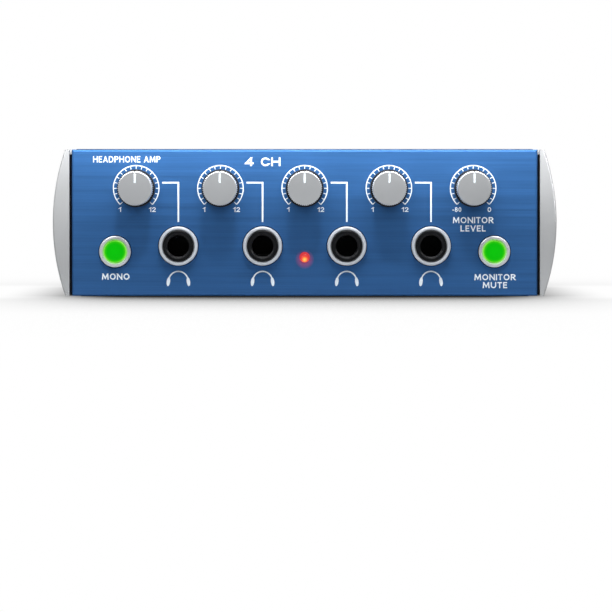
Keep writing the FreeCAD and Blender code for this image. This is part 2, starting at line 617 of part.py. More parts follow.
def button_bezel(x):
    """A bright ring with a funnel inside and a spigot through the panel."""
    flange = rod(BEZEL_R, (x, BEZEL_FACE, BUTTON_Z), (x, FRONT, BUTTON_Z))
    flange = rounded(flange, 0.45, lambda b: flat_at(b, "Y", BEZEL_FACE))
    spigot = rod(BEZEL_SPIGOT, (x, FRONT, BUTTON_Z), (x, FRAME_BACK, BUTTON_Z))
    bore = rod(LENS_R + 0.1, (x, BEZEL_FACE - 1, BUTTON_Z), (x, FRAME_BACK + 1, BUTTON_Z))
    mouth_y = BEZEL_FACE - 0.01
    funnel = cone(BEZEL_MOUTH, LENS_R + 0.1, (x, mouth_y, BUTTON_Z), (x, BEZEL_FACE + 0.9, BUTTON_Z))
    return fused(flange, spigot).cut([bore, funnel])


def push_button(x):
    """A lit button: the lens with its socket, and the switch's plunger in it."""
    lens = rod(LENS_R, (x, LENS_FACE, BUTTON_Z), (x, FRONT + 4, BUTTON_Z))
    lens = rounded(lens, 0.3, lambda b: flat_at(b, "Y", LENS_FACE))
    stem = block((x - 2.2, x + 2.2), (FRONT + 3.9, FRONT + 8), (BUTTON_Z - 2.2, BUTTON_Z + 2.2))
    seat = block((x - 1.5, x + 1.5), (FRONT + 5, FRONT + 9), (BUTTON_Z - 1.5, BUTTON_Z + 1.5))
    plunger = block((x - 1.5, x + 1.5), (FRONT + 5, FRONT + 16), (BUTTON_Z - 1.5, BUTTON_Z + 1.5))
    return group([fused(lens, stem).cut(seat), plunger])


def push_switch(x):
    """The switch's can on the main board, bored for the plunger."""
    can = block((x - 4, x + 4), (SWITCH_FRONT, SWITCH_FRONT + 13), (BOARD_TOP, BUTTON_Z + 4.5))
    slot_end = FRONT + 16 + BUTTON_TRAVEL + 0.5
    slot = block((x - 1.6, x + 1.6), (SWITCH_FRONT - 1, slot_end), (BUTTON_Z - 1.6, BUTTON_Z + 1.6))
    return can.cut(slot)


def power_led():
    """A 3 mm lamp lying through the panel, on two bent legs."""
    body = rod(LED_R, (0, FRONT, LED_Z), (0, FRAME_BACK + 2, LED_Z))
    body = body.fuse(Part.makeSphere(LED_R, Vector(0, FRONT, LED_Z)))
    body = fused(body, rod(LED_R + 0.35, (0, FRAME_BACK + 1, LED_Z), (0, FRAME_BACK + 2, LED_Z)))
    legs = [
        fused(
            block((x - 0.25, x + 0.25), (FRAME_BACK + 2, FRAME_BACK + 4), (LED_Z - 0.25, LED_Z + 0.25)),
            block((x - 0.25, x + 0.25), (FRAME_BACK + 3.5, FRAME_BACK + 4), (BOARD_TOP, LED_Z + 0.25)),
        )
        for x in (-0.9, 0.9)
    ]
    return group([body, *legs])


# ---------------------------------------------------------------- boards and what stands on them
BOARD_HALF = 64.0
BOARD_Y = (FRAME_BACK + 0.9, REAR_INNER - BRACKET - 0.8)


def main_board():
    plate = block((-BOARD_HALF, BOARD_HALF), BOARD_Y, (BOARD_TOP - BOARD, BOARD_TOP))
    return plate.cut([rod(SCREW_HOLE, (x, y, 5), (x, y, 10)) for x, y in STANDOFFS])


def control_board():
    low, high = CONTROL_BOARD_Y, CONTROL_BOARD_Y + BOARD
    plate = block((-60, 60), (low, high), (KNOB_Z - 9, KNOB_Z + 8.6))
    return plate.cut([rod(SCREW_HOLE, (x, low - 1, z), (x, high + 1, z)) for x, z in CONTROL_POSTS])


def standoff(x, y):
    """A tapped hexagonal pillar between the floor and the board."""
    radius = 5.5 / math.sqrt(3)
    turns = [math.pi / 3 * n for n in range(6)]
    corners = [(x + radius * math.cos(turn), y + radius * math.sin(turn)) for turn in turns]
    pillar = prism(corners, "XY", SHEET, BOARD_TOP - BOARD)
    return pillar.cut(rod(1.5, (x, y, 0), (x, y, BOARD_TOP)))


def capacitor(x, y, radius, height):
    """An electrolytic can with the crimped neck round its foot."""
    can = rod(radius, (x, y, BOARD_TOP), (x, y, BOARD_TOP + height))
    can = rounded(can, 0.5, lambda b: flat_at(b, "Z", BOARD_TOP + height))
    groove = Part.makeTorus(radius + 0.25, 0.6, Vector(x, y, BOARD_TOP + 1.8), ALONG_Z)
    return can.cut(groove)


def chip(x, y):
    """An eight-leg dual-in-line package."""
    body = block((x - 4.8, x + 4.8), (y - 3.2, y + 3.2), (BOARD_TOP + 0.5, BOARD_TOP + 3.9))
    notch = rod(0.8, (x - 4.8, y, BOARD_TOP + 3.2), (x - 4.8, y, BOARD_TOP + 5))
    pins_x = [x + 2.54 * n for n in (-1.5, -0.5, 0.5, 1.5)]
    pins_y = [y + 3.6 * s for s in SIDES]
    legs = [
        block((at - 0.3, at + 0.3), (row - 0.4, row + 0.4), (BOARD_TOP, BOARD_TOP + 2))
        for at in pins_x for row in pins_y
    ]
    return fused(body.cut(notch), *legs)


SINK_AT = (50.0, 16.0)


def heat_sink():
    """A finned extrusion that stands on the board."""
    x, y = SINK_AT
    body = block((x - 12, x + 12), (y - 6, y + 6), (BOARD_TOP, BOARD_TOP + 24))
    slots = [
        block((left, left + 2.4), (y - 7, y + 3.4), (BOARD_TOP - 1, BOARD_TOP + 25))
        for left in [x - 10.2 + 4 * n for n in range(5)]
    ]
    return body.cut(slots)


def regulators():
    """Two power packages flat against the heat sink's back."""
    x, y = SINK_AT
    made = []
    for at in (x - 6, x + 6):
        tab = block((at - 5, at + 5), (y + 6, y + 7.3), (BOARD_TOP + 4, BOARD_TOP + 19.5))
        hole = rod(1.8, (at, y + 5, BOARD_TOP + 16.6), (at, y + 9, BOARD_TOP + 16.6))
        body = block((at - 5, at + 5), (y + 6, y + 10.4), (BOARD_TOP + 4, BOARD_TOP + 13))
        legs = [
            block((at + n - 0.4, at + n + 0.4), (y + 8, y + 8.5), (BOARD_TOP, BOARD_TOP + 4))
            for n in (-2.5, 0, 2.5)
        ]
        made.append(fused(tab.cut(hole), body, *legs))
    return group(made)


RIBBON_HALF, RIBBON = 5.0, 0.9
RIBBON_Z, RIBBON_Y = 31.0, -27.0


def ribbon_cable():
    """Flat cable from the control board back over the sockets and down to the main board."""
    start, bend = CONTROL_BOARD_Y + BOARD + 6, 4.0
    outer = bend + RIBBON
    top = RIBBON_Z + RIBBON / 2
    outline = [
        (start, top - RIBBON), (start, top), (RIBBON_Y - bend, top, quarter(outer)),
        (RIBBON_Y + RIBBON, top - outer), (RIBBON_Y + RIBBON, BOARD_TOP + 8.5), (RIBBON_Y, BOARD_TOP + 8.5),
        (RIBBON_Y, top - outer, -quarter(bend)), (RIBBON_Y - bend, top - RIBBON),
    ]
    return prism(outline, "YZ", -RIBBON_HALF, RIBBON_HALF)


def ribbon_headers():
    """The ribbon's two plugs, one on each board."""
    lower = block((-6.5, 6.5), (RIBBON_Y - 2.5, RIBBON_Y + 3.4), (BOARD_TOP, BOARD_TOP + 8.5))
    back = CONTROL_BOARD_Y + BOARD
    upper = block((-6.5, 6.5), (back, back + 6), (RIBBON_Z - 3, RIBBON_Z + 3))
    return group([lower, upper])


def relay(x, y):
    """A small relay's case."""
    case = block((x - 5, x + 5), (y - 7.5, y + 7.5), (BOARD_TOP + 0.4, BOARD_TOP + 11))
    case = rounded(case, 0.6, lambda b: b.ZMin > BOARD_TOP + 2)
    corners = [(x + 4 * s, y + 6 * t) for s in SIDES for t in SIDES]
    feet = [
        block((u - 0.5, u + 0.5), (v - 0.5, v + 0.5), (BOARD_TOP, BOARD_TOP + 1)) for u, v in corners
    ]
    return fused(case, *feet)


# ---------------------------------------------------------------- the list of nodes
def nodes():
    right = cheek()
    base_screw = flat_screw(2.7, 1.1, SHANK, 4.2)
    small_pan = pan_screw(2.7, 1.6, SHANK, 3.6)
    made = {
        "base_tray": tray_with_posts(),
        "top_cover": top_cover(),
        "front_frame": front_frame(),
        "front_panel": front_panel(),
        "right_cheek": right,
        "left_cheek": mirrored(right, -1),
        "cheek_screws": group(
            aimed(flat_screw(2.75, 1.3, 1.25, 5.2), ALONG_X, 90, (s * EAR_SCREW_X, PANEL_BACK + 0.05, z))
            for s in SIDES for z in EAR_SCREW_ZS
        ),
        "cover_screws": group(
            aimed(pan_screw(2.4, 1.2, 1.3, 3.0), ALONG_Y, s * 90, (s * CHASSIS_WIDTH / 2, y, COVER_SCREW_Z))
            for s in SIDES for y in COVER_SCREW_YS
        ),
        "base_screws": group(
            aimed(base_screw, ALONG_X, 180, (x, y, 0.08)) for x, y in STANDOFFS + FRAME_SCREWS
        ),
        "board_standoffs": group(standoff(x, y) for x, y in STANDOFFS),
        "board_screws": group(
            [moved(small_pan, x, y, BOARD_TOP) for x, y in STANDOFFS]
            + [aimed(small_pan, ALONG_X, -90, (x, CONTROL_BOARD_Y + BOARD, z)) for x, z in CONTROL_POSTS]
        ),
        "rear_jack_screws": group(
            aimed(pan_screw(2.3, 1.5, SHANK, 4.5), ALONG_X, -90, (x, REAR, REAR_SCREW_Z))
            for x in REAR_SCREW_XS
        ),
        "main_board": main_board(),
        "control_board": control_board(),
        "phones_jack_nuts": group(moved(ring_nut(), x=x) for x in PHONES_XS),
        "phones_jack_contacts": group(
            moved(spring, x=x)
            for x in PHONES_XS for spring in contact_springs(PHONES_HOUSING, SOCKET_Z + 2.3)
        ),
        "line_jack_contacts": group(
            moved(flipped(spring), x=x)
            for x in LINE_XS for spring in contact_springs(LINE_HOUSING, SOCKET_Z - 0.4)
        ),
        "rear_jack_bracket": rear_jack_bracket(),
        "dc_inlet": dc_inlet(),
        "dc_inlet_contacts": dc_contacts(),
        "push_switches": group(push_switch(s * BUTTON_X) for s in SIDES),
        "button_bezels": group(button_bezel(s * BUTTON_X) for s in SIDES),
        "mono_button": push_button(-BUTTON_X),
        "mute_button": push_button(BUTTON_X),
        "power_led": power_led(),
        "heat_sink": heat_sink(),
        "voltage_regulators": regulators(),
        "filter_capacitors": group(
            [capacitor(x, -29, 5.0, 16) for x in PHONES_XS] + [capacitor(x, 4, 6.3, 20) for x in (14.0, 29.0)]
        ),
        "amplifier_chips": group([chip(x, -14) for x in PHONES_XS] + [chip(x, 2) for x in (-12.7, -38.1)]),
        "mute_relays": group(relay(x, 26) for x in (9.5, -15.9)),
        "ribbon_cable": ribbon_cable(),
        "ribbon_headers": ribbon_headers(),
    }
    for number, x in enumerate(PHONES_XS, 1):
        made[f"phones_jack_{number}"] = phones_socket(x)
    line_names = ("output_jack_right", "output_jack_left", "input_jack_right", "input_jack_left")
    for name, x in zip(line_names, LINE_XS):
        made[name] = line_socket(x)
    for name, x in zip(("level_1", "level_2", "level_3", "level_4", "monitor"), KNOB_XS):
        made[f"{name}_pot"] = potentiometer(x)
        made[f"{name}_shaft"] = pot_shaft(x)
        made[f"{name}_knob"] = knob_body(x)
        made[f"{name}_knob_cap"] = knob_cap(x)
    return made


def main():
    os.makedirs("parts", exist_ok=True)
    for name, shape in nodes().items():
        for solid in shape.Solids:
            if not solid.isValid():
                print("not valid:", name)
        shape.exportStep(f"parts/{name}.step")


main()
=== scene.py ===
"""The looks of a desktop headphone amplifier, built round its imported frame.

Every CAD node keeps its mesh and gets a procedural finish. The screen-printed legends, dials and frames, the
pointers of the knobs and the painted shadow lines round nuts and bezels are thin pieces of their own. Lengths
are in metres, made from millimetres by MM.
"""

import json
import math

import bmesh
import bpy
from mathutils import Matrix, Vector


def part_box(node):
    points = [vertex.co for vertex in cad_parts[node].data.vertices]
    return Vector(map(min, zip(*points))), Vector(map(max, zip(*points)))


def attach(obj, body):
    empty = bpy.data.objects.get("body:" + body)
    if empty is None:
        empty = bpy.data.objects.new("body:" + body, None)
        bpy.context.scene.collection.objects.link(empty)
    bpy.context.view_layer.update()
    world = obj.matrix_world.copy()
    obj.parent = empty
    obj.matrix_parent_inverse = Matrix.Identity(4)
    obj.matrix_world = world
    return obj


MM = 0.001
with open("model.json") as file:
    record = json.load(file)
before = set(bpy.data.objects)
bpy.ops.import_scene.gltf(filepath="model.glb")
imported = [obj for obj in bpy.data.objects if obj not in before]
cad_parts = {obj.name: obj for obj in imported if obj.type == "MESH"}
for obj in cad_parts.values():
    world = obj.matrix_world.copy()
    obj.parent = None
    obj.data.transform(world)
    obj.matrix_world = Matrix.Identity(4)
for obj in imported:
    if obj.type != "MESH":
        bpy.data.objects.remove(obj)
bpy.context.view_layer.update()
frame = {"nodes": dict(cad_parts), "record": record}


# ---------------------------------------------------------------- places read from the frame
def centre(node):
    low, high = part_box(node)
    return (low + high) / 2


SCREW_HEADS = 1.5 * MM          # how far the screw heads on the rear stand out from its wall

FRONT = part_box("front_panel")[0].y
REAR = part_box("rear_jack_screws")[1].y - SCREW_HEADS
KNOBS = ("level_1", "level_2", "level_3", "level_4", "monitor")
PHONES = [f"phones_jack_{n}" for n in (1, 2, 3, 4)]
LINES = ("output_jack_right", "output_jack_left", "input_jack_right", "input_jack_left")
knob_spots = [centre(f"{name}_shaft") for name in KNOBS]
phones_xs = [centre(name).x for name in PHONES]
line_xs = [centre(name).x for name in LINES]
BUTTON = centre("mute_button")
LAMP = centre("power_led")
DC_X = centre("dc_inlet").x
LENS_R = (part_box("mute_button")[1].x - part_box("mute_button")[0].x) / 2
LAMP_R = 1.5 * MM


# ---------------------------------------------------------------- finishes
class Finish:
    """A procedural material. Values go on the shader's own sockets, and nodes are added by name."""

    def __init__(self, name, colour, roughness, **sockets):
        self.material = bpy.data.materials.new(name)
        self.material.use_nodes = True
        self.nodes = self.material.node_tree.nodes
        self.shader = self.nodes["Principled BSDF"]
        self.set("base_color", (*colour, 1.0))
        self.set("roughness", roughness)
        for socket, value in sockets.items():
            self.set(socket, value)
        self.colour = colour
        self.where = self.nodes.new("ShaderNodeTexCoord").outputs["Object"]

    def set(self, socket, value):
        self.shader.inputs[self.title(socket)].default_value = value

    @staticmethod
    def title(socket):
        """The shader's own name for a socket: Specular IOR Level for specular_ior_level."""
        return socket.replace("_", " ").title().replace("Ior", "IOR")

    def join(self, source, target):
        self.material.node_tree.links.new(source, target)

    def feed(self, socket, source):
        self.join(source, self.shader.inputs[self.title(socket)])

    def node(self, kind, values=(), **settings):
        """A new node, with its settings, and with its inputs, by index or name, set or joined."""
        made = self.nodes.new(kind)
        for name, value in settings.items():
            setattr(made, name, value)
        for index, value in dict(values).items():
            if isinstance(value, bpy.types.NodeSocket):
                self.join(value, made.inputs[index])
            else:
                made.inputs[index].default_value = value
        return made

    def noise(self, per_metre, detail=2.0, seed=0.0):
        """Noise with its own number of cells per metre along X, Y and Z, from 0 to 1."""
        spread = self.node("ShaderNodeMapping", {0: self.where, 1: [seed] * 3, 3: per_metre})
        values = {"Vector": spread.outputs[0], "Scale": 1.0, "Detail": detail}
        return self.node("ShaderNodeTexNoise", values).outputs["Fac"]

    def maths(self, operation, *values):
        """The sum, product or other result of numbers and outputs."""
        return self.node("ShaderNodeMath", enumerate(values), operation=operation).outputs[0]

    def scaled(self, source, low, high, start=0.3, end=0.7, **settings):
        """A value between low and high as the source goes from start to end."""
        values = {0: source, 1: start, 2: end, 3: low, 4: high}
        return self.node("ShaderNodeMapRange", values, **settings).outputs[0]

    def eased(self, source, low, high, start, end):
        """The same, with a soft start and end."""
        return self.scaled(source, low, high, start, end, interpolation_type="SMOOTHSTEP")

    def blend(self, share, first, second):
        """The first value where the share is 0, and the second where it is 1."""
        return self.node("ShaderNodeMix", {0: share, 2: first, 3: second}).outputs[0]

    def tint(self, source, dark, light):
        """The finish's colour times a factor that follows the source."""
        factor = self.scaled(source, dark, light)
        colour = self.node("ShaderNodeVectorMath", {0: self.colour, "Scale": factor}, operation="SCALE")
        self.feed("base_color", colour.outputs[0])

    def off_axis(self, spot):
        """The distance from an axis along Y through the spot, or through its mirror image."""
        axes = self.node("ShaderNodeSeparateXYZ", {0: self.where})
        side = self.maths("ABSOLUTE", axes.outputs[0])
        flat = self.node("ShaderNodeCombineXYZ", {0: side, 2: axes.outputs[2]}).outputs[0]
        middle = (abs(spot.x), 0.0, spot.z)
        return self.node("ShaderNodeVectorMath", {0: flat, 1: middle}, operation="DISTANCE").outputs["Value"]

    def bump(self, source, depth):
        """Relief of that depth in metres."""
        made = self.node("ShaderNodeBump", {"Height": source, "Distance": depth, "Strength": 1.0})
        self.feed("normal", made.outputs[0])


def brushed(name, colour, roughness, metallic):
    """Metal brushed along the X axis: long streaks in its colour, gloss and relief."""
    made = Finish(name, colour, roughness, metallic=metallic)
    fine = made.noise([35.0, 4200.0, 4200.0], detail=3.0)
    broad = made.noise([9.0, 700.0, 700.0], seed=4.0)
    mean = made.maths("MULTIPLY", made.maths("ADD", fine, broad), 0.5)
    made.tint(mean, 0.82, 1.16)
    made.feed("roughness", made.scaled(mean, roughness - 0.05, roughness + 0.08))
    made.bump(fine, depth=0.004 * MM)
    return made


def panel_finish():
    """The blue brushed panel, with a painted red glow round the lamp: the panel itself emits red light close
    round it.
    """
    made = brushed("blue_panel", (0.033, 0.135, 0.36), 0.5, metallic=0.6)
    # painted glow: the panel emits the lamp's red light itself, strongest at the lamp's rim and gone at
    # painted_glow_r
    painted_glow_r, painted_glow_strength = 2.9 * MM, 0.55
    made.set("emission_color", (0.34, 0.015, 0.05, 1.0))
    made.feed("emission_strength", made.scaled(made.off_axis(LAMP), painted_glow_strength, 0.0, LAMP_R, painted_glow_r))
    return made


def powder(name, colour, roughness, depth, cells, **sockets):
    """Powder coat or fine blasted metal: an even grain, in cells to the metre, and slow changes of tone."""
    made = Finish(name, colour, roughness, **sockets)
    grain = made.noise([cells] * 3, detail=3.0)
    slow = made.noise([40.0] * 3, seed=2.0)
    made.tint(slow, 0.93, 1.07)
    made.feed("roughness", made.scaled(grain, roughness - 0.04, roughness + 0.06))
    made.bump(grain, depth)
    return made


def moulded(name, colour, roughness, mottle=0.1, **sockets):
    """Moulded plastic or ink: fine spark-eroded texture, slightly uneven gloss, and mottled by that share."""
    made = Finish(name, colour, roughness, **sockets)
    texture = made.noise([2600.0] * 3)
    slow = made.noise([120.0] * 3, seed=1.0)
    made.tint(slow, 1 - mottle, 1 + mottle)
    made.feed("roughness", made.scaled(texture, roughness - 0.05, roughness + 0.08))
    made.bump(texture, depth=0.006 * MM)
    return made


def turned(name, colour, roughness):
    """Plated and turned metal with fine marks of the tool across the Y axis."""
    made = Finish(name, colour, roughness, metallic=1.0)
    rings = made.noise([500.0, 6000.0, 500.0], detail=1.0)
    made.tint(rings, 0.96, 1.04)
    made.feed("roughness", made.scaled(rings, roughness - 0.04, roughness + 0.05))
    made.bump(rings, depth=0.001 * MM)
    return made


def glowing(name, body, spot, radius, ramp, strength):
    """A lit lens whose light goes by the distance from its axis."""
    made = Finish(name, body, 0.3, specular_ior_level=0.2)
    share = made.maths("DIVIDE", made.off_axis(spot), radius)
    colours = made.node("ShaderNodeValToRGB", {0: share})
    points = colours.color_ramp.elements
    while len(points) < len(ramp):
        points.new(0.5)
    for point, (position, colour) in zip(points, ramp):
        point.position = position
        point.color = (*colour, 1.0)
    made.feed("emission_color", colours.outputs[0])
    made.set("emission_strength", strength)
    return made


def ribbon_finish():
    """Grey flat cable with its cores side by side."""
    made = Finish("ribbon", (0.34, 0.34, 0.35), 0.5)
    cores = made.node("ShaderNodeTexWave", {"Vector": made.where, "Scale": 320.0}, wave_profile="SIN")
    made.tint(cores.outputs["Fac"], 0.75, 1.1)
    made.bump(cores.outputs["Fac"], depth=0.2 * MM)
    return made


def circuit_board():
    """Green solder mask over a pattern of copper runs."""
    made = Finish("circuit_board", (0.012, 0.11, 0.035), 0.35, coat_weight=0.4, coat_roughness=0.2)
    runs = made.node(
        "ShaderNodeTexBrick",
        {"Vector": made.where, "Scale": 90.0, "Color1": (0.0, 0.0, 0.0, 1.0), "Color2": (0.1, 0.1, 0.1, 1.0),
         "Mortar": (1.0, 1.0, 1.0, 1.0), "Mortar Size": 0.03},
    )
    made.tint(runs.outputs["Color"], 0.9, 1.6)
    made.bump(runs.outputs["Color"], depth=0.02 * MM)
    return made


# colours from a lens's middle, 0, to its rim, 1
GREEN_RAMP = [
    (0.0, (0.0, 0.5, 0.0)), (0.7, (0.0, 0.46, 0.0)), (0.88, (0.02, 0.52, 0.0)), (1.0, (0.22, 0.72, 0.07)),
]
RED_RAMP = [
    (0.0, (1.0, 0.7, 0.14)), (0.35, (0.9, 0.36, 0.08)), (0.6, (0.8, 0.08, 0.05)), (1.0, (0.5, 0.03, 0.04)),
]

finishes = {
    "blue_panel": panel_finish(),
    "silver_casting": powder("silver_casting", (0.55, 0.56, 0.57), 0.42, 0.002 * MM, 2500.0, metallic=0.5),
    "black_steel": powder(
        "black_steel", (0.004, 0.005, 0.0095), 0.42, 0.01 * MM, 1100.0, specular_ior_level=0.15
    ),
    "plated_steel": brushed("plated_steel", (0.5, 0.51, 0.52), 0.35, metallic=1.0),
    "black_screw": powder("black_screw", (0.08, 0.08, 0.085), 0.26, 0.003 * MM, 3000.0, metallic=0.9),
    "nickel_nut": powder("nickel_nut", (0.72, 0.76, 0.81), 0.42, 0.0005 * MM, 1500.0, metallic=0.4),
    "bezel_silver": powder("bezel_silver", (0.78, 0.8, 0.82), 0.3, 0.0005 * MM, 1500.0, metallic=0.5),
    "jack_black": moulded("jack_black", (0.005, 0.0055, 0.007), 0.36, specular_ior_level=0.28),
    # painted sheen: a lighter, glossier copy of jack_black for the rear line sockets, so that their mouths
    # show highlights
    "line_jack_painted_sheen": moulded("line_jack_painted_sheen", (0.022, 0.023, 0.027), 0.22, specular_ior_level=0.8),
    "inlet_black": moulded("inlet_black", (0.04, 0.041, 0.046), 0.45),
    "contact_metal": powder("contact_metal", (0.7, 0.7, 0.69), 0.36, 0.001 * MM, 1500.0, metallic=1.0),
    "knob_silver": powder("knob_silver", (0.76, 0.78, 0.8), 0.38, 0.003 * MM, 5000.0, metallic=0.85),
    "knob_black": moulded("knob_black", (0.006, 0.006, 0.008), 0.4, specular_ior_level=0.3),
    "shaft_steel": turned("shaft_steel", (0.55, 0.55, 0.55), 0.3),
    "pot_case": moulded("pot_case", (0.02, 0.045, 0.12), 0.4),
    "green_lens": glowing("green_lens", (0.0, 0.06, 0.0), BUTTON, LENS_R, GREEN_RAMP, 1.0),
    "red_lens": glowing("red_lens", (0.2, 0.01, 0.005), LAMP, LAMP_R, RED_RAMP, 1.0),
    "switch_black": moulded("switch_black", (0.02, 0.02, 0.022), 0.4),
    "circuit_board": circuit_board(),
    "standoff_brass": turned("standoff_brass", (0.66, 0.47, 0.16), 0.3),
    "sink_black": powder("sink_black", (0.02, 0.02, 0.022), 0.45, 0.006 * MM, 2000.0, metallic=0.4),
    "chip_black": moulded("chip_black", (0.015, 0.015, 0.016), 0.5),
    "capacitor_sleeve": moulded("capacitor_sleeve", (0.01, 0.015, 0.06), 0.25),
    "relay_case": moulded("relay_case", (0.7, 0.68, 0.6), 0.35),
    "ribbon_grey": ribbon_finish(),
}
white_ink = moulded("white_ink", (0.82, 0.9, 0.96), 0.5, 0.02)
# painted shadow: near-black ink for the shaded line round each ring nut and bezel
painted_shadow_ink = moulded("painted_shadow_ink", (0.006, 0.012, 0.03), 0.7, 0.02, specular_ior_level=0.1)
pale_ink = moulded("pale_ink", (0.82, 0.84, 0.88), 0.5, 0.02)
header_ink = moulded("header_ink", (0.8, 0.83, 0.88), 0.5, 0.02)
dark_ink = moulded("dark_ink", (0.03, 0.035, 0.06), 0.5, 0.02)

for part in frame["record"]["subparts"]:
    for material_slot in frame["nodes"][part["node"]].material_slots:
        material_slot.material = finishes[part["material_slot"]].material
# the rear line sockets take that lighter copy of the jacks' black, a painted sheen
for name in LINES:
    frame["nodes"][name].material_slots[0].material = finishes["line_jack_painted_sheen"].material


# ---------------------------------------------------------------- printing
INK = 0.03 * MM                 # thickness of a layer of ink
STROKE_STEP = 0.001 * MM        # a letter's strokes differ in thickness by this, so none share a plane
CURVE_STEPS = 12                # straight pieces to a quarter circle
LETTER_GAP = 0.2                # of the height of a capital
MITRE_LIMIT = 0.4               # the least cosine that a corner's mitre is worked out with
SLANT_X, SLANT_Y = 0.15, 0.3    # a stroke that goes by more than this both ways ends level


def bow(u, v, half_u, half_v, start, end):
    """Points on an ellipse's arc. Angles are in degrees clockwise from straight up."""
    steps = max(3, round(abs(end - start) / 90 * CURVE_STEPS))
    angles = [math.radians(start + (end - start) * n / steps) for n in range(steps + 1)]
    return [(u + half_u * math.sin(angle), v + half_v * math.cos(angle)) for angle in angles]


def arc(u, v, radius, start, end):
    """Points on a circle's arc."""
    return bow(u, v, radius, radius, start, end)


def disc(u, v, radius):
    """A disc's outline. It stops short of a whole turn, because its last side closes it."""
    return arc(u, v, radius, 0, 345)


def loop(u, v, half_u, half_v):
    """A whole ellipse whose last point is its first."""
    points = bow(u, v, half_u, half_v, 0, 360)
    return points[:-1] + points[:1]


STEM = [(0, 0), (0, 1)]
BOWL = [(0, 1), *bow(0.45, 0.74, 0.55, 0.26, 0, 180), (0, 0.48)]

# Each letter's width, and its strokes inside a box that runs from 0 to 1 both ways
GLYPHS = {
    "A": (0.95, ([(0, 0), (0.5, 1)], [(0.5, 1), (1, 0)], [(0.2, 0.28), (0.8, 0.28)])),
    "C": (0.86, (bow(0.56, 0.5, 0.56, 0.5, 42, -222),)),
    "D": (0.95, (STEM, [(0, 1), *bow(0.35, 0.5, 0.65, 0.5, 0, 180), (0, 0)])),
    "E": (0.7, (STEM, [(0, 1), (0.95, 1)], [(0, 0.52), (0.85, 0.52)], [(0, 0), (1, 0)])),
    "F": (0.68, (STEM, [(0, 1), (1, 1)], [(0, 0.5), (0.88, 0.5)])),
    "G": (0.95, (bow(0.53, 0.5, 0.53, 0.5, 42, -215), [(0.62, 0.44), (1, 0.44), (1, 0.12)])),
    "H": (0.95, (STEM, [(1, 0), (1, 1)], [(0, 0.52), (1, 0.52)])),
    "I": (0.15, ([(0.5, 0), (0.5, 1)],)),
    "L": (0.68, ([(0, 1), (0, 0), (1, 0)],)),
    "M": (1.18, ([(0, 0), (0.07, 1)], [(1, 0), (0.93, 1)], [(0.11, 1), (0.5, 0.16), (0.89, 1)])),
    "N": (0.97, (STEM, [(1, 0), (1, 1)], [(0.02, 1), (0.98, 0)])),
    "O": (1.05, (loop(0.5, 0.5, 0.5, 0.5),)),
    "P": (0.8, (STEM, BOWL)),
    "R": (0.84, (STEM, BOWL, [(0.45, 0.48), (1, 0)])),
    "T": (0.78, ([(0, 1), (1, 1)], [(0.5, 0), (0.5, 1)])),
    "U": (0.95, ([(0, 1), *bow(0.5, 0.42, 0.5, 0.42, 270, 90), (1, 1)],)),
    "V": (0.92, ([(0, 1), (0.5, 0)], [(0.5, 0), (1, 1)])),
    "0": (0.76, (loop(0.5, 0.5, 0.5, 0.5),)),
    "1": (0.42, ([(1, 0), (1, 1)], [(0, 0.78), (1, 1)])),
    "2": (0.74, ([*bow(0.5, 0.7, 0.48, 0.3, -75, 115), (0, 0), (1, 0)],)),
    "4": (0.86, ([(0.74, 0), (0.74, 1)], [(0.7, 1), (0, 0.28)], [(0, 0.28), (1, 0.28)])),
    "8": (0.78, (loop(0.5, 0.77, 0.42, 0.23), loop(0.5, 0.27, 0.5, 0.27))),
    "-": (0.42, ([(0.1, 0.38), (0.9, 0.38)],)),
    "/": (0.5, ([(0, 0), (1, 1)],)),
    " ": (0.34, ()),
}


class Face:
    """A side of the object to print on. u runs to the viewer's right and v upwards."""

    def __init__(self, y, outward):
        self.y = y
        self.outward = outward          # -1 in front, +1 behind
        self.across = -outward

    def place(self, u, v, lift):
        return Vector((self.across * u, self.y + self.outward * lift, v))


front = Face(FRONT, -1)
rear = Face(REAR, 1)


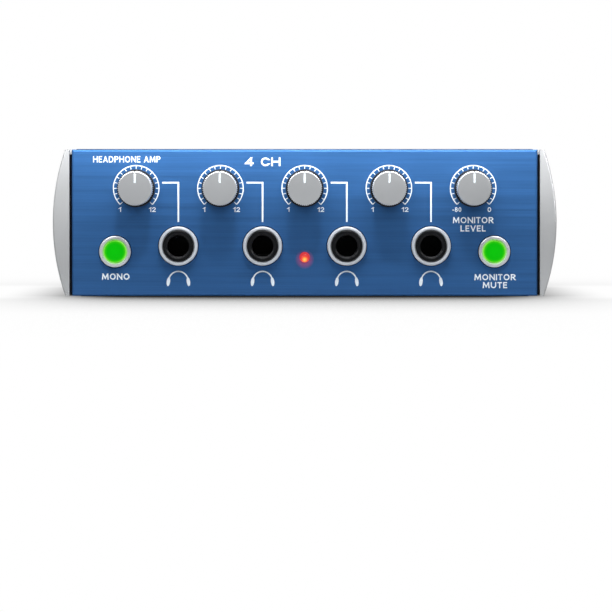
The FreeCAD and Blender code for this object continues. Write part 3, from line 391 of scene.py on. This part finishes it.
class Print:
    """One piece of ink: strokes, areas and words, each a thin closed slab."""

    def __init__(self, name, face, ink, layer=0):
        self.name = name
        self.face = face
        self.ink = ink
        self.low = layer * INK
        self.high = self.low + INK
        self.mesh = bmesh.new()

    def vertices(self, points, lift):
        """New vertices at points (u, v), at that height above the face."""
        return [self.mesh.verts.new(self.face.place(u, v, lift)) for u, v in points]

    def wall(self, first, second):
        """Quads between two closed rows with as many vertices."""
        for n in range(len(first)):
            m = (n + 1) % len(first)
            self.mesh.faces.new((first[n], first[m], second[m], second[n]))

    def slab(self, rows):
        """Quads between two or more rows of points, closed into a solid. Each row is a list of (u, v)."""
        layers = [[self.vertices(points, lift) for points in rows] for lift in (self.low, self.high)]
        for grid in layers:
            for row, following in zip(grid, grid[1:]):
                for n in range(len(row) - 1):
                    self.mesh.faces.new((row[n], row[n + 1], following[n + 1], following[n]))
        under, over = [self.rim(grid) for grid in layers]
        self.wall(under, over)

    @staticmethod
    def rim(grid):
        """The grid's outline in order."""
        sides = [row[-1] for row in grid[1:-1]]
        back = [row[0] for row in grid[1:-1]]
        return grid[0] + sides + grid[-1][::-1] + back[::-1]

    def area(self, outline):
        """A filled convex outline."""
        under, over = [self.vertices(outline, lift) for lift in (self.low, self.high)]
        self.mesh.faces.new(under)
        self.mesh.faces.new(over)
        self.wall(under, over)

    def stroke(self, points, width, closed=False, caps=False):
        """A line of even width with mitred corners. Caps lengthen its ends by half its width, and cut the end
        of a slanting line level."""
        points = [Vector(p) for p in points]
        count = len(points)
        rows = ([], [])
        for n, point in enumerate(points):
            before = points[n - 1] if n or closed else None
            after = points[(n + 1) % count] if n < count - 1 or closed else None
            legs = ((before, point), (point, after))
            ways = [(b - a).normalized() for a, b in legs if a is not None and b is not None]
            normals = [Vector((-way.y, way.x)) for way in ways]
            middle = sum(normals, Vector((0, 0))).normalized()
            reach = width / 2 / max(MITRE_LIMIT, middle.dot(normals[0]))
            corners = [point + middle * reach * side for side in (1, -1)]
            if caps and len(ways) == 1:
                out = ways[0] if before is not None else -ways[0]
                slant = abs(out.x) > SLANT_X and abs(out.y) > SLANT_Y
                level = point.y + math.copysign(width / 2, out.y)
                corners = [
                    corner + out * ((level - corner.y) / out.y if slant else width / 2) for corner in corners
                ]
            for row, corner in zip(rows, corners):
                row.append(tuple(corner))
        if closed:
            self.ring(*rows)
        else:
            self.slab(rows)

    def ring(self, outer, inner):
        """A closed band between two outlines with as many points."""
        outer_low, inner_low = self.vertices(outer, self.low), self.vertices(inner, self.low)
        outer_high, inner_high = self.vertices(outer, self.high), self.vertices(inner, self.high)
        self.wall(outer_low, inner_low)
        self.wall(outer_high, inner_high)
        self.wall(outer_low, outer_high)
        self.wall(inner_low, inner_high)

    def words(self, text, u, v, height, width, weight):
        """Words centred on (u, v), with capitals of that height, fitted to that width. The weight is a
        stroke's width as a share of the height."""
        spans = [GLYPHS[letter][0] for letter in text]
        squeeze = width / height / (sum(spans) + LETTER_GAP * (len(text) - 1))
        left = u - width / 2
        half, tall = weight / 2, 1 - weight
        for letter, span in zip(text, spans):
            wide = span * squeeze - weight
            thickness = self.high
            for points in GLYPHS[letter][1]:
                at = [
                    (left + height * (half + x * wide), v + height * (half + z * tall - 0.5))
                    for x, z in points
                ]
                closed = points[0] == points[-1]
                self.stroke(at[:-1] if closed else at, weight * height, closed, caps=not closed)
                self.high += STROKE_STEP
            self.high = thickness
            left += height * (span + LETTER_GAP) * squeeze

    def done(self, body="housing"):
        """Turns the mesh into a piece that rides on the body."""
        bmesh.ops.remove_doubles(self.mesh, verts=self.mesh.verts, dist=1e-7)
        bmesh.ops.recalc_face_normals(self.mesh, faces=self.mesh.faces)
        shape = bpy.data.meshes.new(self.name)
        self.mesh.to_mesh(shape)
        self.mesh.free()
        shape.materials.append(self.ink.material)
        piece = bpy.data.objects.new(self.name, shape)
        bpy.context.scene.collection.objects.link(piece)
        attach(piece, body)


def rounded_outline(left, right, low, high, radius, low_radius=None):
    """A closed outline with round corners; the lower two may have a radius of their own."""
    foot = radius if low_radius is None else low_radius
    corners = (
        (right - radius, high - radius, radius, 0), (right - foot, low + foot, foot, 90),
        (left + foot, low + foot, foot, 180), (left + radius, high - radius, radius, 270),
    )
    outline = []
    for u, v, r, start in corners:
        outline += arc(u, v, r, start, start + 90) if r else [(u, v)]
    return outline


# ---------------------------------------------------------------- the front's print
DIAL_R, DIAL_LINE = 7.03 * MM, 0.32 * MM
TICK_IN, TICK_LINE = 5.88 * MM, 0.25 * MM
TICK_STEP_UP = 0.006 * MM       # the ticks' ink is thicker than the ring's by this
DIAL_SWEEP, TICK_STEP = 135, 15     # degrees from the middle to each end, and from tick to tick
DIAL_FIGURES = [("1", "12")] * 4 + [("-80", "0")]
FIGURE_OUT, FIGURE_V = 4.9 * MM, 26.2 * MM
FIGURE_H, FIGURE_WEIGHT = 1.42 * MM, 0.17
FIGURE_WIDTHS = {"1": 0.62 * MM, "12": 1.95 * MM, "-80": 2.7 * MM, "0": 1.1 * MM}
# width of the painted shadow line round each nut and bezel
PAINTED_SHADOW_LINE = 0.26 * MM
LINK_START, LINK_V = 7.85 * MM, 34.3 * MM       # from the knob's axis, and the height of the level stretch
LINK_END, LINK_LINE = 22.45 * MM, 0.5 * MM      # the height of the lower end, and the line's width
BAND_R, BAND_TOP, BAND_LINE = 2.95 * MM, 7.55 * MM, 0.42 * MM
BAND_SWEEP = 96                 # degrees from the band's top to each end
CUP_W, CUP_H, CUP_V = 1.05 * MM, 2.75 * MM, 4.45 * MM
CUP_OUT = BAND_R + 0.02 * MM
CUP_BULGE = 0.1                 # its outer half is wider than an ellipse's by this share, the inner narrower
CUP_LEAN = 0.12                 # how far its top leans inwards, as a share of the height
CUP_STEP_UP = 0.01 * MM         # the cups' ink is thicker than the band's by this
# each row: words, the place of their middle, the height of a capital and their width in mm, and their weight
FRONT_WORDS = (
    ("MONO", -57.0, 5.98, 1.88, 8.3, 0.2),
    ("MONITOR", 57.4, 5.8, 1.85, 12.4, 0.19),
    ("MUTE", 57.4, 3.4, 1.85, 7.4, 0.19),
    ("MONITOR", 50.8, 23.0, 1.85, 12.2, 0.18),
    ("LEVEL", 50.8, 20.5, 1.85, 7.6, 0.18),
    ("HEADPHONE AMP", -53.65, 41.35, 1.9, 20.3, 0.15),
    ("4 CH", -12.6, 40.6, 2.6, 10.6, 0.2),
)


def dials():
    """A ring of ticks round each knob, and the figures at its two ends."""
    rings = Print("dial_rings", front, white_ink)
    figures = Print("dial_figures", front, white_ink)
    middle = DIAL_R - DIAL_LINE / 2
    for spot, ends in zip(knob_spots, DIAL_FIGURES):
        rings.stroke(arc(spot.x, spot.z, middle, -DIAL_SWEEP, DIAL_SWEEP), DIAL_LINE)
        hub = Vector((spot.x, spot.z))
        rings.high += TICK_STEP_UP
        for degrees in range(-DIAL_SWEEP, DIAL_SWEEP + 1, TICK_STEP):
            angle = math.radians(degrees)
            way = Vector((math.sin(angle), math.cos(angle)))
            rings.stroke([hub + way * middle, hub + way * TICK_IN], TICK_LINE)
        rings.high -= TICK_STEP_UP
        for text, side in zip(ends, (-1, 1)):
            at = spot.x + side * FIGURE_OUT
            figures.words(text, at, FIGURE_V, FIGURE_H, FIGURE_WIDTHS[text], FIGURE_WEIGHT)
    rings.done()
    figures.done()


def painted_shadow_rings():
    """A painted shadow: a dark line round each ring nut and each bezel, where it sits on the panel."""
    made = Print("painted_shadow_rings", front, painted_shadow_ink)
    nuts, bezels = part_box("phones_jack_nuts"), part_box("button_bezels")
    spots = [(x, nuts) for x in phones_xs] + [(side * BUTTON.x, bezels) for side in (-1, 1)]
    for x, (low, high) in spots:
        z = (low.z + high.z) / 2
        radius = (high.z - low.z) / 2
        made.ring(disc(x, z, radius + PAINTED_SHADOW_LINE), disc(x, z, radius - INK))
    made.done()


def links():
    """The line from each level knob to its headphone socket."""
    made = Print("knob_to_jack_lines", front, white_ink)
    for spot, socket_x in zip(knob_spots, phones_xs):
        corner = (socket_x, LINK_V)
        made.stroke([(spot.x + LINK_START, LINK_V), corner, (socket_x, LINK_END)], LINK_LINE)
    made.done()


def ear_cup(x, side):
    """The outline of one cup of a headphone symbol whose middle is at x."""
    outline = []
    for n in range(CURVE_STEPS * 2):
        angle = math.pi * n / CURVE_STEPS
        u = CUP_W / 2 * math.cos(angle)
        v = CUP_H / 2 * math.sin(angle)
        fullness = 1 + math.copysign(CUP_BULGE, u)
        outline.append((x + side * (CUP_OUT + u * fullness - v * CUP_LEAN), CUP_V + v))
    return outline


def headphone_symbols():
    """A band with two cups under each headphone socket."""
    made = Print("headphone_symbols", front, white_ink)
    for x in phones_xs:
        made.stroke(arc(x, BAND_TOP - BAND_R, BAND_R, -BAND_SWEEP, BAND_SWEEP), BAND_LINE)
        made.high += CUP_STEP_UP
        for side in (-1, 1):
            made.area(ear_cup(x, side))
        made.high -= CUP_STEP_UP
    made.done()


def legends(name, face, ink, rows):
    """One piece with all the words in the rows."""
    made = Print(name, face, ink)
    for text, u, v, height, width, weight in rows:
        made.words(text, u * MM, v * MM, height * MM, width * MM, weight)
    made.done()


# ---------------------------------------------------------------- the rear's print, as seen from behind
FRAME_LINE = 0.5 * MM
FRAME_LOW, FRAME_HIGH, FRAME_R = 3.9 * MM, 40.6 * MM, 2.6 * MM
HEADER_LOW = 35.6 * MM
HEADER_GAP = 0.28 * MM          # between the frame's line and the header's bar
HEADER_V, HEADER_H, HEADER_WEIGHT = 37.85 * MM, 2.35 * MM, 0.125
# each frame's left and right edge, its header, and that header's place and width, all in mm
FRAMES = ((-32.5, 15.55, "OUTPUT", -10.3, 12.2), (16.75, 65.1, "INPUT", 42.8, 9.05))
SOCKET_WORDS = (("RIGHT", 7.15), ("LEFT", 5.45)) * 2
# rows as those of FRONT_WORDS
REAR_WORDS = (
    *[(text, -x / MM, 24.0, 1.9, width, 0.15) for x, (text, width) in zip(line_xs, SOCKET_WORDS)],
    ("MONITOR / THRU", -9.3, 6.7, 1.9, 19.9, 0.14),
    ("12 V DC", -DC_X / MM, 6.75, 1.5, 8.6, 0.14),
)
POLARITY_V, POLARITY_LINE = 4.05 * MM, 0.28 * MM
POLARITY_RING, POLARITY_DOT = 1.18 * MM, 0.5 * MM
POLARITY_SWEEP = (140, 400)     # degrees where the open ring starts and ends
POLARITY_BARS = ((-3.1, -1.3), (0.6, 2.4), (-4.3, -3.7), (2.9, 4.0))    # two leads, minus and plus, in mm
PLUS_U, PLUS_HALF = 3.45 * MM, 0.55 * MM


def rear_frames():
    """A rounded frame round each pair of line sockets, with its header in dark letters on a pale bar."""
    lines = Print("socket_frames", rear, pale_ink)
    bars = Print("header_bars", rear, header_ink)
    words = Print("header_words", rear, dark_ink, layer=1)
    inset = FRAME_LINE / 2 + HEADER_GAP
    for left, right, text, at, width in FRAMES:
        left, right = left * MM, right * MM
        lines.stroke(rounded_outline(left, right, FRAME_LOW, FRAME_HIGH, FRAME_R), FRAME_LINE, closed=True)
        bars.area(rounded_outline(
            left + inset, right - inset, HEADER_LOW, FRAME_HIGH - inset, FRAME_R - inset, low_radius=0
        ))
        words.words(text, at * MM, HEADER_V, HEADER_H, width * MM, HEADER_WEIGHT)
    for made in (lines, bars, words):
        made.done()


def polarity_symbol():
    """Minus, an open ring round a dot, and plus: the centre pin is positive."""
    made = Print("polarity_symbol", rear, pale_ink)
    u, v = -DC_X, POLARITY_V
    made.stroke(arc(u, v, POLARITY_RING, *POLARITY_SWEEP), POLARITY_LINE)
    made.area(disc(u, v, POLARITY_DOT))
    for start, end in POLARITY_BARS:
        made.stroke([(u + start * MM, v), (u + end * MM, v)], POLARITY_LINE)
    made.stroke([(u + PLUS_U, v - PLUS_HALF), (u + PLUS_U, v + PLUS_HALF)], POLARITY_LINE)
    made.done()


# ---------------------------------------------------------------- the knobs' pointers
POINTER_W = 0.62 * MM
POINTER_FROM, POINTER_TO = 1.62 * MM, 4.43 * MM     # from the knob's axis
POINTER_R = 0.1 * MM
GROOVE_DEPTH = 0.15 * MM
PAINT_SHORT = 0.01 * MM         # how far the paint stays below the cap's face


def pointers():
    """White paint that fills the groove on each cap's face."""
    for name, spot in zip(KNOBS, knob_spots):
        groove = Face(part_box(f"{name}_knob_cap")[0].y + GROOVE_DEPTH, -1)
        made = Print(f"{name}_pointer", groove, white_ink)
        made.high = GROOVE_DEPTH - PAINT_SHORT
        left, right = spot.x - POINTER_W / 2, spot.x + POINTER_W / 2
        low, high = spot.z + POINTER_FROM, spot.z + POINTER_TO
        made.area(rounded_outline(left, right, low, high, POINTER_R))
        made.done(f"{name}_knob")


dials()
painted_shadow_rings()
links()
headphone_symbols()
legends("front_legends", front, white_ink, FRONT_WORDS)
rear_frames()
legends("rear_legends", rear, pale_ink, REAR_WORDS)
polarity_symbol()
pointers()


# ---------------------------------------------------------------- floor, light and camera
def plain_floor():
    """A floor that glows white for the camera alone, and throws back light as a grey one.

    Its glow is dimmed near the object, by how much of the sky is hidden there and by a soft shade that
    reaches out in front and behind. Beside the cheeks the glow is brought back to white."""
    half, low = 6.0, -0.02 * MM
    shape = bpy.data.meshes.new("floor")
    shape.from_pydata(
        [(-half, -half, low), (half, -half, low), (half, half, low), (-half, half, low)], [], [(0, 1, 2, 3)]
    )
    made = Finish("floor", (0.45, 0.45, 0.45), 0.7, specular_ior_level=0.0)
    ray = made.node("ShaderNodeLightPath").outputs["Is Camera Ray"]
    made.tint(ray, 1.0, 0.0)
    axes = made.node("ShaderNodeSeparateXYZ", {0: made.where}).outputs
    across = made.maths("ABSOLUTE", axes[0])
    along = made.maths("ABSOLUTE", made.maths("SUBTRACT", axes[1], (FRONT + REAR) / 2))
    edge = (REAR - FRONT) / 2

    sky_reach, sky_power = 0.4, 3.8
    sky = made.node("ShaderNodeAmbientOcclusion", {"Distance": sky_reach}).outputs["AO"]
    contact = made.maths("POWER", sky, sky_power)
    shade_reach, shade_glow, shade_half, shade_end = 0.22, 0.74, 0.04, 0.16
    out = made.eased(along, shade_glow, 1.0, edge, edge + shade_reach)
    ahead = made.blend(made.eased(across, 0.0, 1.0, shade_half, shade_end), out, 1.0)
    shade = made.maths("MULTIPLY", contact, ahead)
    lift_start, lift_end, corner_reach, corner_lift = 0.055, 0.095, 0.06, 0.7
    alongside = made.eased(along, corner_lift, 1.0, edge + corner_reach, edge)
    lift = made.maths("MULTIPLY", made.eased(across, 0.0, 1.0, lift_start, lift_end), alongside)
    glow = made.blend(lift, shade, 1.0)

    made.set("emission_color", (1.0, 1.0, 1.0, 1.0))
    made.feed("emission_strength", made.maths("MULTIPLY", ray, glow))
    shape.materials.append(made.material)
    floor = bpy.data.objects.new("floor", shape)
    bpy.context.scene.collection.objects.link(floor)


def softbox(name, place, target, size, watts):
    """A rectangular lamp that shines from its place to the target, and that the camera doesn't see."""
    lamp = bpy.data.lights.new(name, "AREA")
    lamp.shape = "RECTANGLE"
    lamp.size, lamp.size_y = size
    lamp.energy = watts
    made = bpy.data.objects.new(name, lamp)
    made.location = place
    made.rotation_mode = "QUATERNION"
    made.rotation_quaternion = (Vector(target) - Vector(place)).to_track_quat("-Z", "Y")
    made.visible_camera = False
    bpy.context.scene.collection.objects.link(made)


def studio():
    """A key lamp that throws the knobs' shadows down the panel, a strip close above it, two lamps behind, and
    a dim even surround that the camera sees as white."""
    front_foot, rear_foot = (0.0, FRONT, 0.02), (0.0, REAR, 0.02)
    softbox("key", (0.0, FRONT - 0.36, 0.52), front_foot, (0.07, 0.07), 1.32)
    softbox("strip", (0.0, FRONT - 0.026, 0.07), (0.0, FRONT, 0.04), (0.24, 0.012), 0.15)
    softbox("back", (0.05, REAR + 0.30, 0.42), rear_foot, (0.2, 0.1), 1.5)
    softbox("rear_fill", (-0.12, REAR + 0.6, 0.13), rear_foot, (0.06, 0.06), 0.75)
    world = bpy.data.worlds.new("studio")
    bpy.context.scene.world = world
    world.use_nodes = True
    tree = world.node_tree
    around = tree.nodes["Background"]
    around.inputs["Color"].default_value = (0.96, 0.98, 1.0, 1.0)
    around.inputs["Strength"].default_value = 0.18
    seen = tree.nodes.new("ShaderNodeBackground")
    seen.inputs["Color"].default_value = (1.0, 1.0, 1.0, 1.0)
    choice = tree.nodes.new("ShaderNodeMixShader")
    ray = tree.nodes.new("ShaderNodeLightPath")
    tree.links.new(ray.outputs["Is Camera Ray"], choice.inputs[0])
    tree.links.new(around.outputs[0], choice.inputs[1])
    tree.links.new(seen.outputs[0], choice.inputs[2])
    tree.links.new(choice.outputs[0], tree.nodes["World Output"].inputs["Surface"])
    bpy.context.scene.view_settings.view_transform = "Standard"


def camera():
    """Nearly straight on from the front, a little above, with the object in the upper half of the picture."""
    away, view_width = 1.45, 0.1846
    sensor_width = 36.0
    aside, eye_z = 0.4 * MM, 32.0 * MM
    aim_z = (22.2 - 25.1) * MM      # 25.1 mm below the object's middle
    lens = bpy.data.cameras.new("camera")
    lens.sensor_width = sensor_width
    lens.lens = sensor_width * away / view_width
    lens.clip_end = 20.0
    made = bpy.data.objects.new("camera", lens)
    eye = Vector((aside, FRONT - away, eye_z))
    aim = Vector((aside, FRONT, aim_z))
    made.location = eye
    made.rotation_mode = "QUATERNION"
    made.rotation_quaternion = (aim - eye).to_track_quat("-Z", "Y")
    bpy.context.scene.collection.objects.link(made)
    bpy.context.scene.camera = made


plain_floor()
studio()
camera()
